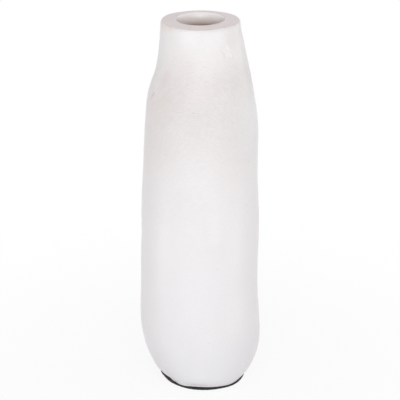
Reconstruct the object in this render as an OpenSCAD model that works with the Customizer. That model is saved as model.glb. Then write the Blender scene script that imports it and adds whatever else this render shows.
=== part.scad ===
// Tall hand-formed terracotta vase with a white coat, standing on a round felt pad.
// Millimetres, +Z up. The origin is on the table, under the middle of the body. -Y is the front.
// The wall is a stack of round sections. Each named section below has a height above the table,
// a diameter over the coat and a sideways shift, because the vase was formed by hand and leans a little.

/* [Foot] */
// Height of the foot's rounded corner
foot_z = 5; // [4:0.5:8]
// Diameter at the foot's rounded corner
foot_d = 96; // [90:1:104]
// Sideways shift of the foot
foot_x = 3.5; // [-5:0.5:5]
// Height of the heel, where the wall starts to open
heel_z = 18; // [14:1:24]
// Diameter at the heel
heel_d = 111; // [104:1:118]
// Sideways shift of the heel
heel_x = 3.5; // [-5:0.5:5]

/* [Body] */
// Height of the hip, where the opening wall turns upright
hip_z = 34; // [30:1:44]
// Diameter at the hip
hip_d = 123; // [116:1:130]
// Sideways shift of the hip
hip_x = 3; // [-5:0.5:5]
// Height of the belly, the widest part
belly_z = 62; // [52:1:80]
// Diameter at the belly
belly_d = 130; // [120:1:140]
// Sideways shift of the belly
belly_x = 0.5; // [-5:0.5:5]
// Height of the waist, drawn in a little above the belly
waist_z = 110; // [95:1:130]
// Diameter at the waist
waist_d = 126; // [116:1:136]
// Sideways shift of the waist
waist_x = -1; // [-5:0.5:5]
// Height of the middle
middle_z = 165; // [150:1:190]
// Diameter at the middle
middle_d = 126; // [116:1:136]
// Sideways shift of the middle
middle_x = 0; // [-5:0.5:5]
// Height of the chest
chest_z = 240; // [215:1:260]
// Diameter at the chest
chest_d = 121; // [112:1:130]
// Sideways shift of the chest
chest_x = 0.5; // [-5:0.5:5]

/* [Shoulder and neck] */
// Height of the shoulder, where the body starts to draw in
shoulder_z = 295; // [280:1:305]
// Diameter at the shoulder
shoulder_d = 117; // [108:1:124]
// Sideways shift of the shoulder
shoulder_x = 1.5; // [-5:0.5:5]
// Height of the slope between the shoulder and the collar
slope_z = 325; // [315:1:335]
// Diameter at the slope
slope_d = 109; // [102:1:114]
// Sideways shift of the slope
slope_x = 1; // [-5:0.5:5]
// Height of the collar, where the slope runs into the neck
collar_z = 350; // [342:1:358]
// Diameter at the collar
collar_d = 96; // [92:1:104]
// Sideways shift of the collar
collar_x = 2.5; // [-5:0.5:5]
// Height of the neck
neck_z = 372; // [366:1:382]
// Diameter at the neck
neck_d = 88; // [82:1:94]
// Sideways shift of the neck
neck_x = 2; // [-5:0.5:5]

/* [Rim and mouth] */
// Overall height, up to the flat of the rim
rim_z = 400; // [394:1:420]
// Diameter over the rim
rim_d = 81; // [76:1:88]
// Sideways shift of the rim
rim_x = 0.5; // [-5:0.5:5]
// Rounding of the rim's outer edge
rim_round = 2; // [1:0.5:4]
// Diameter of the mouth below the lip
mouth_d = 50; // [40:1:54]
// Distance of the mouth behind the middle of the rim
mouth_y = 5; // [0:0.5:7]
// Width of the lip's rounding at the top of the mouth
lip_w = 3; // [1:0.5:4]
// Height of the lip's rounding
lip_h = 8; // [2:0.5:12]
// Extra width of the lip's rounding at the back, taken off it at the front
lip_y = 1; // [0:0.5:2]

/* [Clay and coat] */
// Thickness of the wall below the shoulder, with its coat
wall_t = 9; // [6:0.5:12]
// Thickness of the floor
floor_t = 12; // [8:0.5:16]
// Rounding between the floor and the wall, inside
floor_round = 12; // [6:1:16]
// Thickness of the white coat
coat_t = 0.6; // [0.4:0.1:0.8]
// Depth that the coat reaches into the neck
coat_depth = 16; // [10:1:60]

/* [Felt pad] */
// Diameter of the pad
pad_d = 91; // [84:1:94]
// Sideways shift of the pad
pad_x = 4.5; // [2:0.5:5]
// Shift of the pad to the back
pad_y = -1; // [-2:0.5:2]
// Thickness of the felt
pad_t = 2.8; // [1.5:0.1:3]
// Thickness of the adhesive film
glue_t = 0.2; // [0.1:0.05:0.3]
// Distance of the film's edge inside the pad's edge
glue_margin = 1; // [0:0.5:4]

/* [Hidden] */
$fn = 96;
CLAY = "#b26a4e";
COAT = "#f0eeee";
GLUE = "#d9d3c3";
FELT = "#2b2b2d";
SIDES = 48; // points around each ring
STEPS = 3; // rings between two named sections
ARC = 3; // steps in each rounded corner
LIP_STEPS = 6; // steps round the lip
NECK_STEPS = 4; // rings down the coated part of the neck's inside
HOLLOW_STEPS = 12; // rings down the bare part of the inside
base_z = pad_t + glue_t;
foot_round = foot_z - base_z;
hollow_z = base_z + floor_t;
lip_z = rim_z - lip_h;
SECTIONS = [
    [foot_z, foot_d / 2, foot_x],
    [heel_z, heel_d / 2, heel_x],
    [hip_z, hip_d / 2, hip_x],
    [belly_z, belly_d / 2, belly_x],
    [waist_z, waist_d / 2, waist_x],
    [middle_z, middle_d / 2, middle_x],
    [chest_z, chest_d / 2, chest_x],
    [shoulder_z, shoulder_d / 2, shoulder_x],
    [slope_z, slope_d / 2, slope_x],
    [collar_z, collar_d / 2, collar_x],
    [neck_z, neck_d / 2, neck_x],
    [rim_z, rim_d / 2, rim_x],
];
TOP = len(SECTIONS) - 1;

// Slope of column k at section i, taken across the sections on either side of it
function slope(i, k) =
    let (low = SECTIONS[max(i - 1, 0)], high = SECTIONS[min(i + 1, TOP)])
    (high[k] - low[k]) / (high[0] - low[0]);

// Smooth cubic through the sections: column k at height z
function along(z, k) =
    let (
        i = max([for (n = [0 : TOP - 1]) if (n == 0 || SECTIONS[n][0] <= z) n]),
        low = SECTIONS[i],
        high = SECTIONS[i + 1],
        h = high[0] - low[0],
        t = (z - low[0]) / h
    )
    low[k] * (1 + 2 * t) * (1 - t) ^ 2 + high[k] * t ^ 2 * (3 - 2 * t)
    + h * (slope(i, k) * t * (1 - t) ^ 2 - slope(i + 1, k) * t ^ 2 * (1 - t));

function radius(z) = along(z, 1);
function shift(z) = along(z, 2);

// Soft step from 0 to 1 between the shoulder and the lip
function rise(z) =
    let (t = min(max((z - shoulder_z) / (lip_z - shoulder_z), 0), 1))
    t ^ 2 * (3 - 2 * t);

// Inside of the neck and body: the wall thickens from wall_t up to the width of the rim
rim_w = radius(lip_z) - mouth_d / 2;
function inside(z) = radius(z) - wall_t - (rim_w - wall_t) * rise(z);

// A row is [radius, height, sideways shift, shift to the back]. The depth d is measured into the wall.
function foot_rows(d) = [
    for (s = [0 : ARC - 1])
        let (a = 90 * s / ARC - 90)
        [foot_d / 2 - foot_round * (1 - cos(a)) - d, foot_z + foot_round * sin(a), foot_x, 0]
];
function wall_rows(d) = [
    for (i = [0 : TOP - 1], s = [0 : STEPS - 1])
        let (
            end_z = i == TOP - 1 ? rim_z - rim_round : SECTIONS[i + 1][0],
            z = SECTIONS[i][0] + (end_z - SECTIONS[i][0]) * s / STEPS
        )
        [radius(z) - d, z, shift(z), 0]
];
function rim_rows(d) =
    let (z = rim_z - rim_round, r = radius(z) - rim_round)
    [
        for (s = [0 : ARC])
            let (a = 90 * s / ARC)
            [r + (rim_round - d) * cos(a), z + (rim_round - d) * sin(a), shift(z), 0]
    ];
function lip_rows(d) =
    let (r = mouth_d / 2 + lip_w)
    [
        for (s = [0 : LIP_STEPS])
            let (a = 90 + 90 * s / LIP_STEPS)
            [
                r + (lip_w - d) * cos(a),
                lip_z + (lip_h - d) * sin(a),
                shift(lip_z),
                mouth_y + lip_y * (1 + cos(a)),
            ]
    ];
// Rows down the inside from one height to another, without the first
function inside_rows(d, from_z, to_z, steps) = [
    for (s = [1 : steps])
        let (z = from_z + (to_z - from_z) * s / steps)
        [inside(z) + d, z, shift(z), mouth_y * rise(z)]
];
function floor_rows(d) =
    let (z = hollow_z + floor_round, r = inside(z) + d - floor_round)
    [
        for (s = [1 : ARC])
            let (a = 90 * s / ARC)
            [r + floor_round * cos(a), z - floor_round * sin(a), shift(z), 0]
    ];

// Outside, rim and coated neck, at depth d under the coat's surface
function coated_rows(d) = concat(
    foot_rows(d), wall_rows(d), rim_rows(d), lip_rows(d),
    inside_rows(d, lip_z, rim_z - coat_depth, NECK_STEPS)
);
function hollow_rows(d) = concat(
    inside_rows(d, rim_z - coat_depth, hollow_z + floor_round, HOLLOW_STEPS), floor_rows(d)
);

function ring(row) = [
    for (n = [0 : SIDES - 1])
        let (a = 360 * n / SIDES)
        [row[2] + row[0] * cos(a), row[3] + row[0] * sin(a), row[1]]
];

// Two triangles for each cell between one ring and the next
function band(low, high) = [
    for (n = [0 : SIDES - 1])
        let (m = (n + 1) % SIDES, a = low * SIDES, b = high * SIDES)
        each [[a + n, b + n, b + m], [a + n, b + m, a + m]]
];

// Solid from a stack of rings, with a flat disc on the first and the last
module stacked(rows) {
    last = len(rows) - 1;
    polyhedron(
        points = [for (row = rows) each ring(row)],
        faces = concat(
            [[for (n = [0 : SIDES - 1]) n], [for (n = [SIDES - 1 : -1 : 0]) last * SIDES + n]],
            [for (i = [0 : last - 1]) each band(i, i + 1)]
        )
    );
}

// Solid from a closed loop of rings
module looped(rows) {
    count = len(rows);
    polyhedron(
        points = [for (row = rows) each ring(row)],
        faces = [for (i = [0 : count - 1]) each band(i, (i + 1) % count)]
    );
}

// Fired clay in one piece: floor, wall, neck and rim, open at the mouth
module vessel() {
    color(CLAY)
    stacked(concat(coated_rows(coat_t), hollow_rows(coat_t)));
}

// White mineral skin, laid on the clay from the foot over the rim and down into the neck
module white_coat() {
    under = coated_rows(coat_t);
    color(COAT)
    looped(concat(coated_rows(0), [for (i = [len(under) - 1 : -1 : 0]) under[i]]));
}

// Thin film between the felt and the bare clay of the foot
module pad_adhesive() {
    color(GLUE)
    translate([pad_x, pad_y, pad_t])
    cylinder(d = pad_d - 2 * glue_margin, h = glue_t);
}

// Round of black felt that keeps the clay off the table
module felt_pad() {
    color(FELT)
    translate([pad_x, pad_y, 0])
    cylinder(d = pad_d, h = pad_t);
}

vessel();
white_coat();
pad_adhesive();
felt_pad();
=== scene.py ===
import bpy
import numpy as np
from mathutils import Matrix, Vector


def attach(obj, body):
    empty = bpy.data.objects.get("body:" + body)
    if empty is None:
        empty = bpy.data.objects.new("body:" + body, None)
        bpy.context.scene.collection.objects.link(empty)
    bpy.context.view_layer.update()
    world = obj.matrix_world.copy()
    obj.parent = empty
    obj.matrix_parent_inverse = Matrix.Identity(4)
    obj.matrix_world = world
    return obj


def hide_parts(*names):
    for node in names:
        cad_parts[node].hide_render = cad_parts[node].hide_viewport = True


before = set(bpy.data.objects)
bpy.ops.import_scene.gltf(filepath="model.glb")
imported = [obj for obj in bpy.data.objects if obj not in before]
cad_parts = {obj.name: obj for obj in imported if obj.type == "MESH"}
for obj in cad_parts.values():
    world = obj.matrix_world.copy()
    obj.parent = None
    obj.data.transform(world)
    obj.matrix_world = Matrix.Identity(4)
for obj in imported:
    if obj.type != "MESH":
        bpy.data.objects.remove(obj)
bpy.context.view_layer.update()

# Terracotta vessel
# The vase itself, one fired piece of red clay: floor, wall, neck and rim, built up by hand and joined wet.
# Palms and thumbs left the wall a little uneven, and a knife pared the foot. It is bare only deep inside.
MM = 0.001
TURN = 2 * np.pi
SECTION_Z = MM * np.array([5, 18, 34, 62, 110, 165, 240, 295, 325, 350, 372, 400])
SECTION_R = MM * np.array([96, 111, 123, 130, 126, 126, 121, 117, 109, 96, 88, 81]) / 2
SECTION_X = MM * np.array([3.5, 3.5, 3, 0.5, -1, 0, 0.5, 1.5, 1, 2.5, 2, 0.5])
FOOT_Z, RIM_Z = SECTION_Z[0], SECTION_Z[-1]
BASE_Z = 3 * MM
FOOT_ROUND = FOOT_Z - BASE_Z
SHOULDER_Z = 295 * MM
RIM_ROUND = 2 * MM
LIP_W, LIP_H, LIP_Y = 3 * MM, 8 * MM, 1 * MM
# Where the lip is rounded less: angle from +X, how much narrower in mm, half width in degrees
TIGHT_LIPS = [(-14, 2.0, 85), (180, 1.4, 75)]
LIP_Z = RIM_Z - LIP_H
MOUTH_R = 25 * MM
MOUTH_Y = 5 * MM
# The mouth is pressed in this far at each side, and stands this far to the side of the rim's middle
MOUTH_PINCH, MOUTH_X = 0.9 * MM, -0.5 * MM
WALL_T = 9 * MM
FLOOR_T = 12 * MM
FLOOR_ROUND = 12 * MM
COAT_T = 0.6 * MM
COAT_DEPTH = 16 * MM
# Rings of the hollow, of the corner of its floor and of the floor, and the radius of the floor's last ring
HOLLOW_RINGS, FLOOR_CORNER_RINGS, FLOOR_RINGS = 110, 12, 14
FLOOR_EYE = 1 * MM
# The coated part of the neck is short: it has one ring for so many of the wall's
WALL_RINGS_TO_NECK = 10
# The wave that wiping left on the inside
WIPE_DEPTH, WIPE_PITCH = 0.15 * MM, 9 * MM
# Slow waves from the palms: how many go round, mm of height for a radian of twist, depth in mm, phase
PALM_WAVES = [(2, 25, 0.35, 0.4), (3, -18, 0.25, 0), (5, 13, 0.15, 2)]
# Heights over which the waves come in above the foot, and over which they go out under the rim
PALMS_IN = 5 * MM, 50 * MM
PALMS_OUT = 360 * MM, 395 * MM
# Where the knife pared the foot: angle from +X, depth in mm with out as positive, half width in degrees,
# height in mm
KNIFE_FLATS = [(-165, -1.7, 26, 18), (-154, -6.0, 40, 9), (-140, 1.3, 10, 8), (-117, 0.6, 14, 16),
               (-100, -1.5, 30, 9), (-89, -0.6, 26, 18), (-54, 0.8, 20, 18), (-52, 0.7, 24, 9),
               (-28, -0.6, 22, 18), (28, -1.0, 26, 18), (82, -0.8, 30, 18), (128, -1.2, 26, 18)]
# Thumb presses: angle and height of the middle, depth, half width in degrees, half height in mm
PRESSES = [(-52, 394, -1.8, 32, 34), (-100, 412, 2.3, 46, 40), (-100, 372, -0.7, 42, 24),
           (38, 400, 0.8, 34, 24), (142, 400, 1.2, 34, 24), (90, 400, 0.8, 40, 24), (64, 340, -0.8, 40, 40),
           (0, 390, -0.6, 34, 14), (0, 342, 0.32, 34, 34), (0, 280, 0.33, 34, 18), (0, 230, -0.36, 34, 16),
           (0, 188, 0.36, 34, 24), (0, 115, 0.42, 34, 28), (0, 68, -0.36, 34, 18), (-10, 31, -0.36, 34, 12),
           (180, 209, 0.6, 34, 36), (180, 167, -0.4, 34, 16), (-170, 38, 0.45, 34, 14),
           (-28, 11.5, 0.9, 24, 10), (-156, 17, 0.4, 20, 7)]
# Tool marks: angle and height of the two ends, depth, half width in mm
SCRATCHES = [(-60, 378, -56.2, 371.5, -0.9, 3.2), (-53, 388, -47.2, 371.2, 0.6, 2.8),
             (-50.2, 380, -47.2, 371.2, 0.9, 2.4), (-59.3, 369, -59.5, 357, 0.3, 2.4),
             (-155, 329.5, -158.4, 323.4, -0.8, 1.6), (-50, 152, -49.2, 146, 0.3, 1.8),
             (-46, 152, -46.4, 148, -0.2, 2.2), (40, 352, 49, 341, -0.4, 2.2),
             (118, 210, 111, 205, 0.3, 2.2), (158, 300, 166, 306, -0.4, 2.0)]


def through_sections(z, values):
    """Smooth cubic through the named sections. At each it keeps the slope between its two neighbours."""
    slopes = np.empty_like(values)
    slopes[1:-1] = (values[2:] - values[:-2]) / (SECTION_Z[2:] - SECTION_Z[:-2])
    slopes[0] = (values[1] - values[0]) / (SECTION_Z[1] - SECTION_Z[0])
    slopes[-1] = (values[-1] - values[-2]) / (SECTION_Z[-1] - SECTION_Z[-2])
    i = np.clip(np.searchsorted(SECTION_Z, z, "right") - 1, 0, len(SECTION_Z) - 2)
    h = SECTION_Z[i + 1] - SECTION_Z[i]
    t = (z - SECTION_Z[i]) / h
    low = values[i] * (1 + 2 * t) + h * slopes[i] * t
    high = values[i + 1] * (3 - 2 * t) - h * slopes[i + 1] * (1 - t)
    return low * (1 - t) ** 2 + high * t ** 2


def soft_step(low, high, value):
    """Goes from 0 at low to 1 at high, level at both ends."""
    t = np.clip((value - low) / (high - low), 0, 1)
    return t ** 2 * (3 - 2 * t)


def fade(distance):
    """Squared cosine: 1 at distance 0, and 0 from distance 1 outwards."""
    return np.cos(np.clip(distance, -1, 1) * np.pi / 2) ** 2


def turn_from(theta, degrees):
    """Angle from the given direction to theta, the short way round."""
    return (theta - np.radians(degrees) + np.pi) % TURN - np.pi


def scratch(theta, z, from_angle, from_mm, to_angle, to_mm, half_mm):
    """1 on the line between two points of the wall, fading to 0 at the half width on either side.
    The wall is rolled out flat round the first point, and the distance to the line is taken there."""
    r = through_sections(from_mm * MM, SECTION_R)
    across, up = r * turn_from(theta, from_angle), z - from_mm * MM
    end_across, end_up = r * np.radians(to_angle - from_angle), (to_mm - from_mm) * MM
    along = (across * end_across + up * end_up) / (end_across ** 2 + end_up ** 2)
    along = np.clip(along, 0, 1)
    return fade(np.hypot(across - along * end_across, up - along * end_up) / (half_mm * MM))


def hand_marks(theta, z):
    """How far the wall stands out from its round sections.
    The palms' waves wind slowly round it, on the front and the back. The other marks are added to them."""
    palms = 0
    for count, twist, depth, phase in PALM_WAVES:
        palms = palms + depth * np.cos(count * theta + z / (twist * MM) + phase)
    marks = palms * np.sin(theta) ** 2 * soft_step(*PALMS_IN, z) * (1 - soft_step(*PALMS_OUT, z))
    for angle, depth, half_angle, height in KNIFE_FLATS:
        across = turn_from(theta, angle) / np.radians(half_angle)
        marks = marks + depth * fade(across) * fade((z - BASE_Z) / (height * MM))
    for angle, height, depth, half_angle, half_height in PRESSES:
        across = turn_from(theta, angle) / np.radians(half_angle)
        marks = marks + depth * fade(across) * fade((z - height * MM) / (half_height * MM))
    for *ends, depth, half_width in SCRATCHES:
        marks = marks + depth * scratch(theta, z, *ends, half_width)
    return marks * MM


def radius(theta, z):
    """Radius over the coat: the round section's, and the hand marks on it."""
    return through_sections(z, SECTION_R) + hand_marks(theta, z)


def lean(z):
    """Sideways shift of the section at a height."""
    return through_sections(z, SECTION_X)


def rise(z):
    """From 0 at the shoulder to 1 at the lip: how far the wall has thickened and the mouth moved back."""
    return soft_step(SHOULDER_Z, LIP_Z, z)


def inside(z):
    """Radius of the hollow: the round section's, less a thickness that grows to the width of the rim."""
    rim_w = through_sections(LIP_Z, SECTION_R) - MOUTH_R
    return through_sections(z, SECTION_R) - WALL_T - (rim_w - WALL_T) * rise(z)


def pinch(theta, z):
    """How far the inside is pressed in at its left and right: nothing at the shoulder, most at the lip."""
    return MOUTH_PINCH * np.cos(theta) ** 2 * rise(z)


def rings(theta, r, z, x, y):
    """Points of level rings, each a circle of radius r at height z about the centre x, y."""
    points = np.broadcast_arrays(x + r * np.cos(theta), y + r * np.sin(theta), z + 0 * theta)
    return np.stack(points, axis=-1)


def steps(start, end, count):
    """Evenly spaced values from just after start up to end, one to a row."""
    return np.linspace(start, end, count + 1)[1:, None]


def coated_rings(theta, depth, wall_count, corner_count):
    """Rings round the foot's corner, up the wall, over the rim and down the neck.
    They lie the given depth under the coat's face. The corners are quarter circles, and the rim is flat
    between its two corners."""
    a = np.linspace(-np.pi / 2, 0, corner_count)[:, None]
    r = radius(theta, FOOT_Z + 0 * a) - FOOT_ROUND * (1 - np.cos(a)) - depth
    foot = rings(theta, r, FOOT_Z + FOOT_ROUND * np.sin(a), SECTION_X[0], 0)
    edge_z = RIM_Z - RIM_ROUND
    z = steps(FOOT_Z, edge_z, wall_count)
    wall = rings(theta, radius(theta, z) - depth, z, lean(z), 0)
    a = steps(0, np.pi / 2, corner_count)
    r = radius(theta, edge_z + 0 * a) - RIM_ROUND + (RIM_ROUND - depth) * np.cos(a)
    edge = rings(theta, r, edge_z + (RIM_ROUND - depth) * np.sin(a), lean(edge_z), 0)
    a = np.linspace(np.pi / 2, np.pi, corner_count)[:, None]
    lip_w = LIP_W
    for angle, less, half_angle in TIGHT_LIPS:
        lip_w = lip_w - less * MM * fade(turn_from(theta, angle) / np.radians(half_angle))
    r = MOUTH_R - pinch(theta, LIP_Z) + lip_w + (lip_w - depth) * np.cos(a)
    y = MOUTH_Y + LIP_Y * (1 + np.cos(a))
    lip = rings(theta, r, LIP_Z + (LIP_H - depth) * np.sin(a), lean(LIP_Z) + MOUTH_X, y)
    across = steps(0, 1, corner_count)[:-1, :, None]
    land = edge[-1] * (1 - across) + lip[0] * across
    z = steps(LIP_Z, RIM_Z - COAT_DEPTH, wall_count // WALL_RINGS_TO_NECK)
    r = inside(z) - pinch(theta, z) + depth
    neck = rings(theta, r, z, lean(z) + MOUTH_X * rise(z), MOUTH_Y * rise(z))
    return np.concatenate([foot, wall, edge, land, lip, neck])


def hollow_rings(theta, depth):
    """Rings down the bare inside of the body, round the corner of its floor and in over the floor.
    A shallow wave down the wall, that slowly winds, is what wiping the wet clay left."""
    corner_z = BASE_Z + FLOOR_T + FLOOR_ROUND
    z = steps(RIM_Z - COAT_DEPTH, corner_z, HOLLOW_RINGS)
    wiped = WIPE_DEPTH * np.cos(TURN * z / WIPE_PITCH + theta)
    r = inside(z) - pinch(theta, z) + depth + wiped
    body = rings(theta, r, z, lean(z) + MOUTH_X * rise(z), MOUTH_Y * rise(z))
    a = steps(0, np.pi / 2, FLOOR_CORNER_RINGS)
    floor_r = inside(corner_z) + depth - FLOOR_ROUND
    r, z = floor_r + FLOOR_ROUND * np.cos(a), corner_z - FLOOR_ROUND * np.sin(a)
    corner = rings(theta, r, z, lean(corner_z), 0)
    floor = rings(theta, steps(floor_r, FLOOR_EYE, FLOOR_RINGS), BASE_Z + FLOOR_T, lean(corner_z), 0)
    return np.concatenate([body, corner, floor])


def stacked(name, stack, looped=False):
    """A piece from a stack of rings, with four-sided cells between each ring and the next.
    A looped stack joins its last ring to its first. Any other is closed by a fan at each end."""
    rows, sides = stack.shape[:2]
    low = np.arange(rows if looped else rows - 1)[:, None] * sides
    high = (low + sides) % (rows * sides)
    n = np.arange(sides)
    m = (n + 1) % sides
    cells = np.stack([low + n, low + m, high + m, high + n], axis=-1).reshape(-1, 4).tolist()
    points = [stack.reshape(-1, 3)]
    if not looped:
        points += [stack[0].mean(0, keepdims=True), stack[-1].mean(0, keepdims=True)]
        top, first = (rows - 1) * sides, np.full(sides, rows * sides)
        cells += np.stack([m, n, first], axis=-1).tolist()
        cells += np.stack([top + n, top + m, first + 1], axis=-1).tolist()
    mesh = bpy.data.meshes.new(name)
    mesh.from_pydata(np.concatenate(points), [], cells)
    mesh.polygons.foreach_set("use_smooth", np.ones(len(cells), dtype=bool))
    piece = bpy.data.objects.new(name, mesh)
    bpy.context.collection.objects.link(piece)
    return piece


def srgb(colour):
    """Linear colour of an sRGB hex value, by the standard curve."""
    c = np.array([int(colour[i:i + 2], 16) for i in (1, 3, 5)]) / 255
    linear = np.where(c <= 0.04045, c / 12.92, ((c + 0.055) / 1.055) ** 2.4)
    return (*linear.tolist(), 1.0)


def bare_material(name):
    """An empty material and its node tree."""
    material = bpy.data.materials.new(name)
    material.use_nodes = True
    material.node_tree.nodes.clear()
    return material, material.node_tree


def add_node(tree, kind, inputs, out=None, **settings):
    """Adds a shader node with these settings. Each input is a constant, or the output that feeds it.
    Gives the output of that name, or the first one in use."""
    made = tree.nodes.new("ShaderNode" + kind)
    for setting, value in settings.items():
        setattr(made, setting, value)
    named = {socket.name: socket for socket in made.inputs if socket.enabled}
    for name, given in inputs.items():
        socket = made.inputs[name] if isinstance(name, int) else named[name]
        if isinstance(given, bpy.types.NodeSocket):
            tree.links.new(given, socket)
        else:
            socket.default_value = given
    outputs = [socket for socket in made.outputs if socket.enabled and out in (None, socket.name)]
    return outputs[0] if outputs else None


CLAY_SIDES, CLAY_WALL_RINGS, CLAY_CORNER_RINGS = 192, 160, 5
theta = np.linspace(0, TURN, CLAY_SIDES, endpoint=False)[None, :]
outer_clay = coated_rings(theta, COAT_T, CLAY_WALL_RINGS, CLAY_CORNER_RINGS)
vessel_clay = stacked("vessel_clay", np.concatenate([outer_clay, hollow_rings(theta, COAT_T)]))

# Fired red earthenware: dry and matt, paler and darker where the kiln was uneven, with pale grog in it
KILN_PATCH = 35 * MM
GROG_SPACING = 4 * MM
# A speck of grog is full this far from its middle and gone this far, as shares of the spacing. It covers
# this share of the clay's colour
GROG_FULL, GROG_GONE, GROG_COVER = 0.12, 0.2, 0.5
CLAY_GRAIN, CLAY_TOOTH = 1.2 * MM, 0.2 * MM
earthenware, tree = bare_material("fired_red_earthenware")
where = add_node(tree, "TexCoord", {}, out="Object")
patches = add_node(tree, "TexNoise", {"Vector": where, "Scale": 1 / KILN_PATCH, "Detail": 4.0})
clay_colour = add_node(tree, "Mix", {"Factor": patches, "A": srgb("#9c563d"), "B": srgb("#c37b5d")},
                       data_type="RGBA")
grog = add_node(tree, "TexVoronoi", {"Vector": where, "Scale": 1 / GROG_SPACING})
specks = add_node(tree, "MapRange", {"Value": grog, "From Min": GROG_FULL, "From Max": GROG_GONE,
                                     "To Min": GROG_COVER, "To Max": 0.0})
clay_colour = add_node(tree, "Mix", {"Factor": specks, "A": clay_colour, "B": srgb("#dcb69c")},
                       data_type="RGBA")
grain = add_node(tree, "TexNoise", {"Vector": where, "Scale": 1 / CLAY_GRAIN, "Detail": 3.0})
tooth = add_node(tree, "Bump", {"Height": grain, "Strength": 0.5, "Distance": CLAY_TOOTH})
shade = add_node(tree, "BsdfPrincipled", {"Base Color": clay_colour, "Roughness": 0.9, "IOR": 1.5,
                                          "Normal": tooth})
add_node(tree, "OutputMaterial", {"Surface": shade})
vessel_clay.data.materials.append(earthenware)
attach(vessel_clay, "root")
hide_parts("vessel")

# White coat
# A thin white mineral coat, brushed and wiped over the clay from the foot over the rim and into the neck.
# It is bonded to the clay, so every hand mark shows through it. It is rubbed thin on the flat of the rim,
# and painted shade darkens that flat.
COAT_SIDES = 264
FACE_WALL_RINGS, FACE_CORNER_RINGS = 270, 8
UNDER_WALL_RINGS, UNDER_CORNER_RINGS = 36, 3
theta = np.linspace(0, TURN, COAT_SIDES, endpoint=False)[None, :]
face = coated_rings(theta, 0, FACE_WALL_RINGS, FACE_CORNER_RINGS)
under = coated_rings(theta, COAT_T, UNDER_WALL_RINGS, UNDER_CORNER_RINGS)
coat_skin = stacked("coat_skin", np.concatenate([face, under[::-1]]), looped=True)

# Matt white mineral coat: almost white, softly mottled, satin where the wiping burnished it, with pinholes.
# Painted light and painted shade are laid into its colour too
BRUSH_PATCH = 45 * MM
# The real grain is finer than a pixel of the render, so it is drawn this coarse to show
COAT_GRAIN, COAT_TOOTH = 1.1 * MM, 0.2 * MM
# Roughness where the wiping left the coat dull, and where it burnished it
DULL, BURNISHED = 0.34, 0.28
# On the upper half the brush strokes bow: they drop by the square of the way from the middle, over this
STROKE_BOW = 62 * MM
STROKE_LENGTH, STROKE_WIDTH = 4.5 * MM, 1.5 * MM
STROKES_FROM, STROKES_FULL, STROKES_SHARE = 120 * MM, 220 * MM, 0.65
# Share of the strokes and the grain in the mottling. The wide patches have the rest
FINE_SHARE = 0.75
# Painted shade darkens and warms the coat round the shoulder: heights where it starts and where it is full,
# below and above
SHOULDER_SHADE_BELOW = 235 * MM, 315 * MM
SHOULDER_SHADE_ABOVE = 382 * MM, 341 * MM
# How strong the painted shade is there, where the mottling is dark and where it is pale
MOTTLE_DARK, MOTTLE_PALE = 0.35, 0.65
SHADE_AT_DARK, SHADE_AT_PALE = 0.9, 0.4
# Distances from the mouth's axis: in the mouth up to the first, and outside from the second
IN_MOUTH_R, OUTSIDE_R = 31 * MM, 34 * MM
# Inside the neck the coat is drawn pale pink and then dark pinkish brown, the deeper it goes: depths in mm
# where each starts and where it is full, share, colour
NECK_TINTS = [(1, 7, 0.3, "#f8e6dc"), (8.5, 14.5, 1.0, "#b0948a")]
# The flat of the rim is rubbed and carries painted shade: depths where that starts and where it is full
RIM_FLAT_FROM, RIM_FLAT_FULL = 0.6 * MM, 0.05 * MM
# Outside, a share of the rubbing and of the painted shade goes on over the rim's edge: depths where it
# starts and where it is full
RIM_EDGE_FROM, RIM_EDGE_FULL, RIM_EDGE_SHARE = 3.6 * MM, 0.3 * MM, 0.38
# Each dark spot is dark out to this share of its diameter, and gone at this share
SPOT_DARK, SPOT_GONE = 0.2, 0.6
# Pinholes and nicks: angle from +X, height in mm, diameter in mm, how dark. The three in a row near -156
# degrees are painted shade in the tool gouge on the left shoulder, and the wide faint one at -57.8 degrees
# is painted shade in the groove on the neck
PINHOLES_AND_NICK_SHADE = [(-97.8, 318.2, 1.4, 0.37), (-87.2, 363.2, 1.3, 0.22), (-35.2, 258.8, 1.8, 0.24),
            (-38.8, 212.8, 2.0, 0.18), (-73, 150, 1.2, 0.16), (-109, 367.5, 2.0, 0.1),
            (-90.8, 368, 2.0, 0.12), (-140.4, 339.4, 1.4, 0.32), (-131, 34, 1.2, 0.2), (-82, 66, 1.2, 0.25),
            (-57.8, 374.2, 3.4, 0.1), (-32, 301.8, 1.5, 0.22), (-52.5, 250.5, 1.3, 0.11),
            (-25.2, 214.5, 1.6, 0.13), (-155.2, 328.8, 1.8, 0.7), (-156.4, 326.8, 1.8, 0.75),
            (-157.7, 324.6, 1.4, 0.55), (8, 336, 1.5, 0.4), (21, 122, 1.8, 0.35), (47, 268, 1.4, 0.3),
            (66, 183, 1.8, 0.4), (83, 365, 1.3, 0.25), (97, 88, 1.6, 0.3), (109, 316, 1.5, 0.4),
            (133, 228, 1.8, 0.35), (152, 131, 1.4, 0.3), (171, 357, 1.5, 0.25), (176, 190, 1.6, 0.35)]
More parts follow.
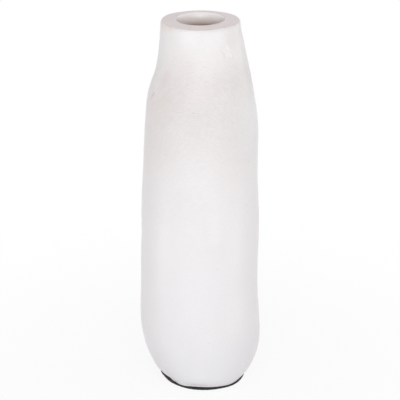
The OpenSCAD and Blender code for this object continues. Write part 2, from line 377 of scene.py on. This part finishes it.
# Soft round patches of colour. Those on the back, and the pink and tan ones on the front, are the coat's
# own tone,
# are painted shade over the upper body and shoulder, and the cool grey ones at the foot are painted shade
# near the floor
# near -76 degrees are painted highlights, and the other white and pale ones are painted light. The warm
# grey ones
# where it lies thicker or so thin that the clay tints it. On the front the white ones at the neck and the
# short row
# Each patch: angle, height, radius in mm, share, colour
CLOUDS_AND_PAINTED_LIGHT = [(-92, 341, 22, 0.11, "#d6c8c2"), (-135, 325, 32, 0.17, "#d6c6be"),
          (-51, 254, 38, 0.11, "#d6c6be"), (-156, 262, 50, 0.09, "#d6c4bb"), (-52, 40, 46, 0.13, "#c9c6c8"),
          (-84, 34, 46, 0.09, "#c9c6c8"), (-130, 26, 42, 0.1, "#c9c6c8"), (-112, 362, 26, 0.06, "#d6c6be"),
          (-68, 392, 18, 0.3, "#ffffff"), (-110, 393, 18, 0.28, "#ffffff"), (-15, 306, 54, 0.45, "#ffffff"),
          (-163, 305, 40, 0.3, "#fbeeea"), (-118, 175, 50, 0.13, "#ffffff"),
          (-100, 122, 52, 0.17, "#ffffff"), (-76.5, 206, 11, 0.18, "#fffafa"),
          (-76, 195, 11, 0.22, "#fffafa"), (-75.5, 184, 11, 0.18, "#fffafa"),
          (-38, 388, 18, 0.14, "#d6c6be"), (-160, 397, 8, 0.3, "#e4cab8"), (-149, 398, 8, 0.3, "#e4cab8"),
          (-138, 399, 7, 0.3, "#e4cab8"), (-140.2, 350, 10, 0.115, "#dca3b0"),
          (-142.2, 344, 10, 0.1, "#dca3b0"), (20, 205, 50, 0.1, "#d6c6be"), (58, 330, 36, 0.1, "#d6c6be"),
          (75, 120, 50, 0.14, "#ffffff"), (112, 262, 46, 0.1, "#d6c6be"), (140, 352, 13, 0.12, "#dca3b0"),
          (150, 80, 46, 0.1, "#d6c6be")]


def on_wall(angle, height):
    """Point of the coat's outer face at an angle in degrees and a height in mm."""
    turn, z = np.radians(angle), height * MM
    r = radius(turn, z)
    return (lean(z) + r * np.cos(turn), r * np.sin(turn), z)


engobe, tree = bare_material("matt_white_mineral_coat")
where = add_node(tree, "TexCoord", {}, out="Object")
patches = add_node(tree, "TexNoise", {"Vector": where, "Scale": 1 / BRUSH_PATCH, "Detail": 3.0})
height = add_node(tree, "SeparateXYZ", {"Vector": where}, out="Z")
squares = add_node(tree, "VectorMath", {0: where, 1: where}, operation="MULTIPLY")
drop = add_node(tree, "VectorMath", {0: squares, 1: (1 / STROKE_BOW, 0, 0)}, out="Value",
                operation="DOT_PRODUCT")
lifted = add_node(tree, "CombineXYZ", {"Z": drop})
bowed = add_node(tree, "VectorMath", {0: where, 1: lifted}, operation="ADD")
stroke_scale = (1 / STROKE_LENGTH, 1 / STROKE_LENGTH, 1 / STROKE_WIDTH)
along_stroke = add_node(tree, "Mapping", {"Vector": bowed, "Scale": stroke_scale})
strokes = add_node(tree, "TexNoise", {"Vector": along_stroke, "Scale": 1.0, "Detail": 2.0})
grain = add_node(tree, "TexNoise", {"Vector": where, "Scale": 1 / COAT_GRAIN, "Detail": 2.0})
upper = add_node(tree, "MapRange", {"Value": height, "From Min": STROKES_FROM, "From Max": STROKES_FULL,
                                    "To Max": STROKES_SHARE}, interpolation_type="SMOOTHSTEP")
brushed = add_node(tree, "Mix", {"Factor": upper, "A": grain, "B": strokes})
uneven = add_node(tree, "Mix", {"Factor": FINE_SHARE, "A": patches, "B": brushed})
colour = add_node(tree, "Mix", {"Factor": uneven, "A": srgb("#e9e4e3"), "B": srgb("#f9f5f4")},
                  data_type="RGBA")
# Painted shade round the shoulder, stronger where the mottling is dark
shoulder_shade = add_node(tree, "MapRange", {"Value": uneven, "From Min": MOTTLE_DARK, "From Max": MOTTLE_PALE,
                                   "To Min": SHADE_AT_DARK, "To Max": SHADE_AT_PALE})
for none_z, full_z in SHOULDER_SHADE_BELOW, SHOULDER_SHADE_ABOVE:
    bound = add_node(tree, "MapRange", {"Value": height, "From Min": none_z, "From Max": full_z},
                     interpolation_type="SMOOTHSTEP")
    shoulder_shade = add_node(tree, "Math", {0: shoulder_shade, 1: bound}, operation="MULTIPLY")
colour = add_node(tree, "Mix", {"Factor": shoulder_shade, "A": colour, "B": srgb("#e0dad8")}, data_type="RGBA")
# Mix in each patch: the coat's own tone, a painted highlight, painted light or painted shade
for angle, cloud_mm, cloud_r, share, tint in CLOUDS_AND_PAINTED_LIGHT:
    apart = add_node(tree, "VectorMath", {0: where, 1: on_wall(angle, cloud_mm)}, operation="DISTANCE")
    cloud_and_light = add_node(tree, "MapRange", {"Value": apart, "From Min": 0.0, "From Max": cloud_r * MM,
                                        "To Min": share, "To Max": 0.0}, interpolation_type="SMOOTHSTEP")
    colour = add_node(tree, "Mix", {"Factor": cloud_and_light, "A": colour, "B": srgb(tint)}, data_type="RGBA")
axis_at = (-lean(LIP_Z) - MOUTH_X, -MOUTH_Y, 0)
level = add_node(tree, "Mapping", {"Vector": where, "Location": axis_at, "Scale": (1, 1, 0)})
from_axis = add_node(tree, "VectorMath", {0: level}, operation="LENGTH")
in_mouth = add_node(tree, "MapRange", {"Value": from_axis, "From Min": IN_MOUTH_R, "From Max": OUTSIDE_R,
                                       "To Min": 1.0, "To Max": 0.0})
# Pinker and then darker with depth inside the neck
for start_mm, full_mm, share, tint in NECK_TINTS:
    deep = add_node(tree, "MapRange", {"Value": height, "From Min": RIM_Z - start_mm * MM,
                                       "From Max": RIM_Z - full_mm * MM, "To Max": share},
                    interpolation_type="SMOOTHSTEP")
    deep = add_node(tree, "Math", {0: deep, 1: in_mouth}, operation="MULTIPLY")
    colour = add_node(tree, "Mix", {"Factor": deep, "A": colour, "B": srgb(tint)}, data_type="RGBA")
# The flat of the rim and the top of its edge: rubbing lets the clay's pink through, and painted shade
# darkens the upward-facing flat
rim_rub_and_shade = add_node(tree, "MapRange", {"Value": height, "From Min": RIM_Z - RIM_FLAT_FROM,
                                     "From Max": RIM_Z - RIM_FLAT_FULL}, interpolation_type="SMOOTHSTEP")
outside = add_node(tree, "MapRange", {"Value": in_mouth, "To Min": RIM_EDGE_SHARE, "To Max": 0.0})
edge_rub_and_shade = add_node(tree, "MapRange", {"Value": height, "From Min": RIM_Z - RIM_EDGE_FROM,
                                      "From Max": RIM_Z - RIM_EDGE_FULL, "To Max": outside},
                   interpolation_type="SMOOTHSTEP")
rim_rub_and_shade = add_node(tree, "Math", {0: rim_rub_and_shade, 1: edge_rub_and_shade}, operation="MAXIMUM")
rub_and_shade_colour = add_node(tree, "Mix", {"Factor": uneven, "A": srgb("#c4b4b4"), "B": srgb("#e8dee0")},
                data_type="RGBA")
colour = add_node(tree, "Mix", {"Factor": rim_rub_and_shade, "A": colour, "B": rub_and_shade_colour}, data_type="RGBA")
holes_and_nick_shade = None
# Dark pinholes, and painted shade in the tool gouge and in the neck's groove
for angle, spot_mm, spot_d, dark in PINHOLES_AND_NICK_SHADE:
    apart = add_node(tree, "VectorMath", {0: where, 1: on_wall(angle, spot_mm)}, operation="DISTANCE")
    dark_spot = add_node(tree, "MapRange", {"Value": apart, "From Min": SPOT_DARK * spot_d * MM,
                                       "From Max": SPOT_GONE * spot_d * MM, "To Min": dark, "To Max": 0.0},
                    interpolation_type="SMOOTHSTEP")
    holes_and_nick_shade = dark_spot if holes_and_nick_shade is None else add_node(tree, "Math", {0: holes_and_nick_shade, 1: dark_spot}, operation="MAXIMUM")
colour = add_node(tree, "Mix", {"Factor": holes_and_nick_shade, "A": colour, "B": srgb("#8d7f7b")}, data_type="RGBA")
tooth = add_node(tree, "Bump", {"Height": brushed, "Strength": 0.5, "Distance": COAT_TOOTH})
satin = add_node(tree, "MapRange", {"Value": patches, "To Min": DULL, "To Max": BURNISHED})
shade = add_node(tree, "BsdfPrincipled", {"Base Color": colour, "Roughness": satin, "IOR": 1.6,
                                          "Normal": tooth})
add_node(tree, "OutputMaterial", {"Surface": shade})
coat_skin.data.materials.append(engobe)
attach(coat_skin, "root")
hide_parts("white_coat")

# Pad adhesive
# The film of acrylic adhesive on the back of the felt, which holds it to the bare clay under the foot.
# It is cut a little smaller than the felt, and trimmed back where the knife pared the foot, to stay hidden.
PAD_X, PAD_Y = 4.5 * MM, -1 * MM
PAD_T = 2.8 * MM
FILM_R = 44.5 * MM
FILM_INSET = 1 * MM
# How far the cut wavers, and the counts round the film of the two waves that make it
FILM_WAVER, FILM_WAVES = 0.2 * MM, (7, 3)
FILM_SIDES = 128
# Rings of each face, as shares of the radius
FILM_RINGS = [0.02, 0.5, 1]
theta = np.linspace(0, TURN, FILM_SIDES, endpoint=False)[None, :]
film_edge = FILM_R + FILM_WAVER * np.cos(FILM_WAVES[0] * theta) * np.cos(FILM_WAVES[1] * theta)
film_edge = np.minimum(film_edge, radius(theta, FOOT_Z) - FOOT_ROUND - FILM_INSET)
film_r = np.array(FILM_RINGS + FILM_RINGS[::-1])[:, None] * film_edge
film_z = np.repeat([PAD_T, BASE_Z], len(FILM_RINGS))[:, None]
adhesive_film = stacked("adhesive_film", rings(theta, film_r, film_z, PAD_X, PAD_Y))

# Acrylic transfer adhesive: a cloudy, pale yellowish film with a slight shine
FILM_CLOUD = 6 * MM
acrylic, tree = bare_material("acrylic_transfer_adhesive")
where = add_node(tree, "TexCoord", {}, out="Object")
clouds = add_node(tree, "TexNoise", {"Vector": where, "Scale": 1 / FILM_CLOUD, "Detail": 3.0})
colour = add_node(tree, "Mix", {"Factor": clouds, "A": srgb("#cfc8b6"), "B": srgb("#e1dccf")},
                  data_type="RGBA")
shade = add_node(tree, "BsdfPrincipled", {"Base Color": colour, "Roughness": 0.4, "IOR": 1.47})
add_node(tree, "OutputMaterial", {"Surface": shade})
adhesive_film.data.materials.append(acrylic)
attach(adhesive_film, "root")
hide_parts("pad_adhesive")

# Felt pad
# A round of black wool felt, cut with shears and stuck under the foot to keep the clay off the table.
# Its edge strays a little from a true circle and is slightly fuzzy, and it is pressed flat where it stands.
PAD_R = 45.5 * MM
PAD_ROUND = 0.5 * MM
PAD_SIDES = 360
# Rings of each face and of each rounded edge, and the share of the radius at the innermost one
FLAT_RINGS, EDGE_RINGS, PAD_EYE = 12, 5, 0.02
# The fuzz adds up products of two waves. For each wave: its count round the pad, and its phase
FUZZ_DEPTH = 0.12 * MM
FUZZ_WAVES = [(61, 0, 23, 1), (97, 2, 41, 0)]
# Share of the radius from which the edge strays and is fuzzy
FUZZY_FROM = 0.9
# Where the cut strays: angle from +X, how far out in mm, half width in degrees
STRAYS = [(180, 2.7, 21), (-164, 0.4, 12), (-148, 0.4, 25), (-114, 0.3, 20), (-47, 1.1, 26), (-4, -0.6, 24)]
theta = np.linspace(0, TURN, PAD_SIDES, endpoint=False)[None, :]
stray = 0
for count, phase, other_count, other_phase in FUZZ_WAVES:
    stray = stray + FUZZ_DEPTH * np.cos(count * theta + phase) * np.cos(other_count * theta + other_phase)
for angle, out, half_angle in STRAYS:
    stray = stray + out * MM * fade(turn_from(theta, angle) / np.radians(half_angle))
low_turn = np.linspace(-np.pi / 2, 0, EDGE_RINGS)[:, None]
edge_r = PAD_R - PAD_ROUND + PAD_ROUND * np.cos(low_turn)
edge_z = PAD_ROUND + PAD_ROUND * np.sin(low_turn)
flat_r = np.linspace(PAD_EYE, 1, FLAT_RINGS)[:-1, None] * (PAD_R - PAD_ROUND)
pad_r = np.concatenate([flat_r, edge_r, edge_r[::-1], flat_r[::-1]])
pad_z = np.concatenate([0 * flat_r, edge_z, PAD_T - edge_z[::-1], PAD_T + 0 * flat_r])
near_edge = soft_step(FUZZY_FROM * PAD_R, PAD_R - PAD_ROUND, pad_r)
felt_round = stacked("felt_round", rings(theta, pad_r + near_edge * stray, pad_z, PAD_X, PAD_Y))

# Black wool felt: a mat of fine tangled fibres, quite dull, with a faint grey bloom at a low angle
# Real fibres are far finer than a pixel, so the tangle is drawn this coarse to show
FIBRE_TANGLE, FELT_NAP = 0.9 * MM, 0.2 * MM
felt, tree = bare_material("black_wool_felt")
where = add_node(tree, "TexCoord", {}, out="Object")
tangle = add_node(tree, "TexNoise", {"Vector": where, "Scale": 1 / FIBRE_TANGLE, "Detail": 5.0,
                                     "Distortion": 2.0})
colour = add_node(tree, "Mix", {"Factor": tangle, "A": srgb("#161618"), "B": srgb("#2e2e31")},
                  data_type="RGBA")
nap = add_node(tree, "Bump", {"Height": tangle, "Strength": 0.8, "Distance": FELT_NAP})
shade = add_node(tree, "BsdfPrincipled", {"Base Color": colour, "Roughness": 0.95, "IOR": 1.5,
                                          "Normal": nap, "Sheen Weight": 0.15, "Sheen Roughness": 0.6})
add_node(tree, "OutputMaterial", {"Surface": shade})
felt_round.data.materials.append(felt)
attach(felt_round, "root")
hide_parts("felt_pad")

# Studio floor and light
# A plain white floor in a pale room, with softboxes in front, above and behind, and lit cards on the floor.
# The room and the floor show as white. Near the vase the floor keeps some shading, so a shadow shows.
FLOOR_HALF = 8.0
SHADOW_SHARE = 0.13
SHADOW_END = 0.5
ROOM_LEVEL = 0.53
# Lamps: name, place, what each is turned to, width and height in metres, power in watts, colour.
# The cards look straight up, and the small step in what they are turned to keeps their width along X
LAMPS = [("softbox_above", (0, -0.15, 0.95), (0, 0, 0.38), 0.6, 0.6, 0.68, "#ffffff"),
         ("softbox_front", (0, -1.6, 1.2), (0, 0, 0.2), 1.4, 0.9, 11.2, "#ffffff"),
         ("softbox_back_right", (1.1, 0.45, 0.55), (0, 0, 0.25), 0.5, 0.6, 1.15, "#ffffff"),
         ("softbox_back_left", (-1.1, 0.45, 0.55), (0, 0, 0.25), 0.5, 0.6, 0.5, "#ffffff"),
         ("table_left", (-0.475, -0.17, 0.004), (-0.475, -0.1699, 1), 0.35, 0.18, 0.21, "#ffffff"),
         ("table_right", (0.475, -0.17, 0.004), (0.475, -0.1699, 1), 0.35, 0.18, 0.2, "#ffffff"),
         ("table_middle", (0, -0.303, 0.0005), (0, -0.3029, 1), 0.72, 0.494, 0.283, "#dbefff"),
         ("table_front", (0, -1.425, 0.004), (0, -1.4249, 1), 2.6, 0.95, 6.55, "#ffffff")]


def seen_directly(tree):
    """1 for rays from the camera, from a gloss and through glass, and 0 for the rays that carry light."""
    seen = None
    for ray in ("Is Camera Ray", "Is Glossy Ray", "Is Transmission Ray"):
        flag = add_node(tree, "LightPath", {}, out=ray)
        seen = flag if seen is None else add_node(tree, "Math", {0: seen, 1: flag}, operation="MAXIMUM")
    return seen


corners = [(-FLOOR_HALF, -FLOOR_HALF, 0), (FLOOR_HALF, -FLOOR_HALF, 0),
           (FLOOR_HALF, FLOOR_HALF, 0), (-FLOOR_HALF, FLOOR_HALF, 0)]
floor_mesh = bpy.data.meshes.new("studio_floor")
floor_mesh.from_pydata(corners, [], [(0, 1, 2, 3)])
studio_floor = bpy.data.objects.new("studio_floor", floor_mesh)
bpy.context.collection.objects.link(studio_floor)
white_floor, tree = bare_material("white_floor")
where = add_node(tree, "TexCoord", {}, out="Object")
away = add_node(tree, "VectorMath", {0: where}, operation="LENGTH")
plain = add_node(tree, "MapRange", {"Value": away, "From Min": 0.0, "From Max": SHADOW_END,
                                    "To Min": 1 - SHADOW_SHARE, "To Max": 1.0},
                 interpolation_type="SMOOTHSTEP")
plain = add_node(tree, "Math", {0: plain, 1: seen_directly(tree)}, operation="MULTIPLY")
paint = add_node(tree, "BsdfDiffuse", {"Color": srgb("#f0f1f4")})
glow = add_node(tree, "Emission", {"Strength": 1.0})
shade = add_node(tree, "MixShader", {0: plain, 1: paint, 2: glow})
add_node(tree, "OutputMaterial", {"Surface": shade})
studio_floor.data.materials.append(white_floor)

room = bpy.data.worlds.new("pale_room")
room.use_nodes = True
tree = room.node_tree
tree.nodes.clear()
white = add_node(tree, "MapRange", {"Value": seen_directly(tree), "To Min": ROOM_LEVEL, "To Max": 1.0})
backdrop = add_node(tree, "Background", {"Color": srgb("#ffffff"), "Strength": white})
add_node(tree, "OutputWorld", {"Surface": backdrop})
bpy.context.scene.world = room

for name, place, faced, width, height, power, tint in LAMPS:
    lamp = bpy.data.lights.new(name, "AREA")
    lamp.shape = "RECTANGLE"
    lamp.size, lamp.size_y = width, height
    lamp.energy = power
    lamp.color = srgb(tint)[:3]
    softbox = bpy.data.objects.new(name, lamp)
    bpy.context.collection.objects.link(softbox)
    softbox.location = place
    softbox.rotation_euler = (Vector(faced) - Vector(place)).to_track_quat("-Z", "Y").to_euler()
    softbox.visible_camera = False

# Camera
# A long lens, a little above the vase and looking down on it, as the photograph was taken.
EYE_Y, EYE_Z = -1.43, 0.767
LOOK_DOWN = 21.5
LENS_MM, SENSOR_MM = 130, 36
lens = bpy.data.cameras.new("camera")
lens.lens = LENS_MM
lens.sensor_width = SENSOR_MM
camera = bpy.data.objects.new("camera", lens)
bpy.context.collection.objects.link(camera)
camera.location = (0, EYE_Y, EYE_Z)
camera.rotation_euler = (np.radians(90 - LOOK_DOWN), 0, 0)
bpy.context.scene.camera = camera
bpy.context.scene.view_settings.view_transform = "Standard"
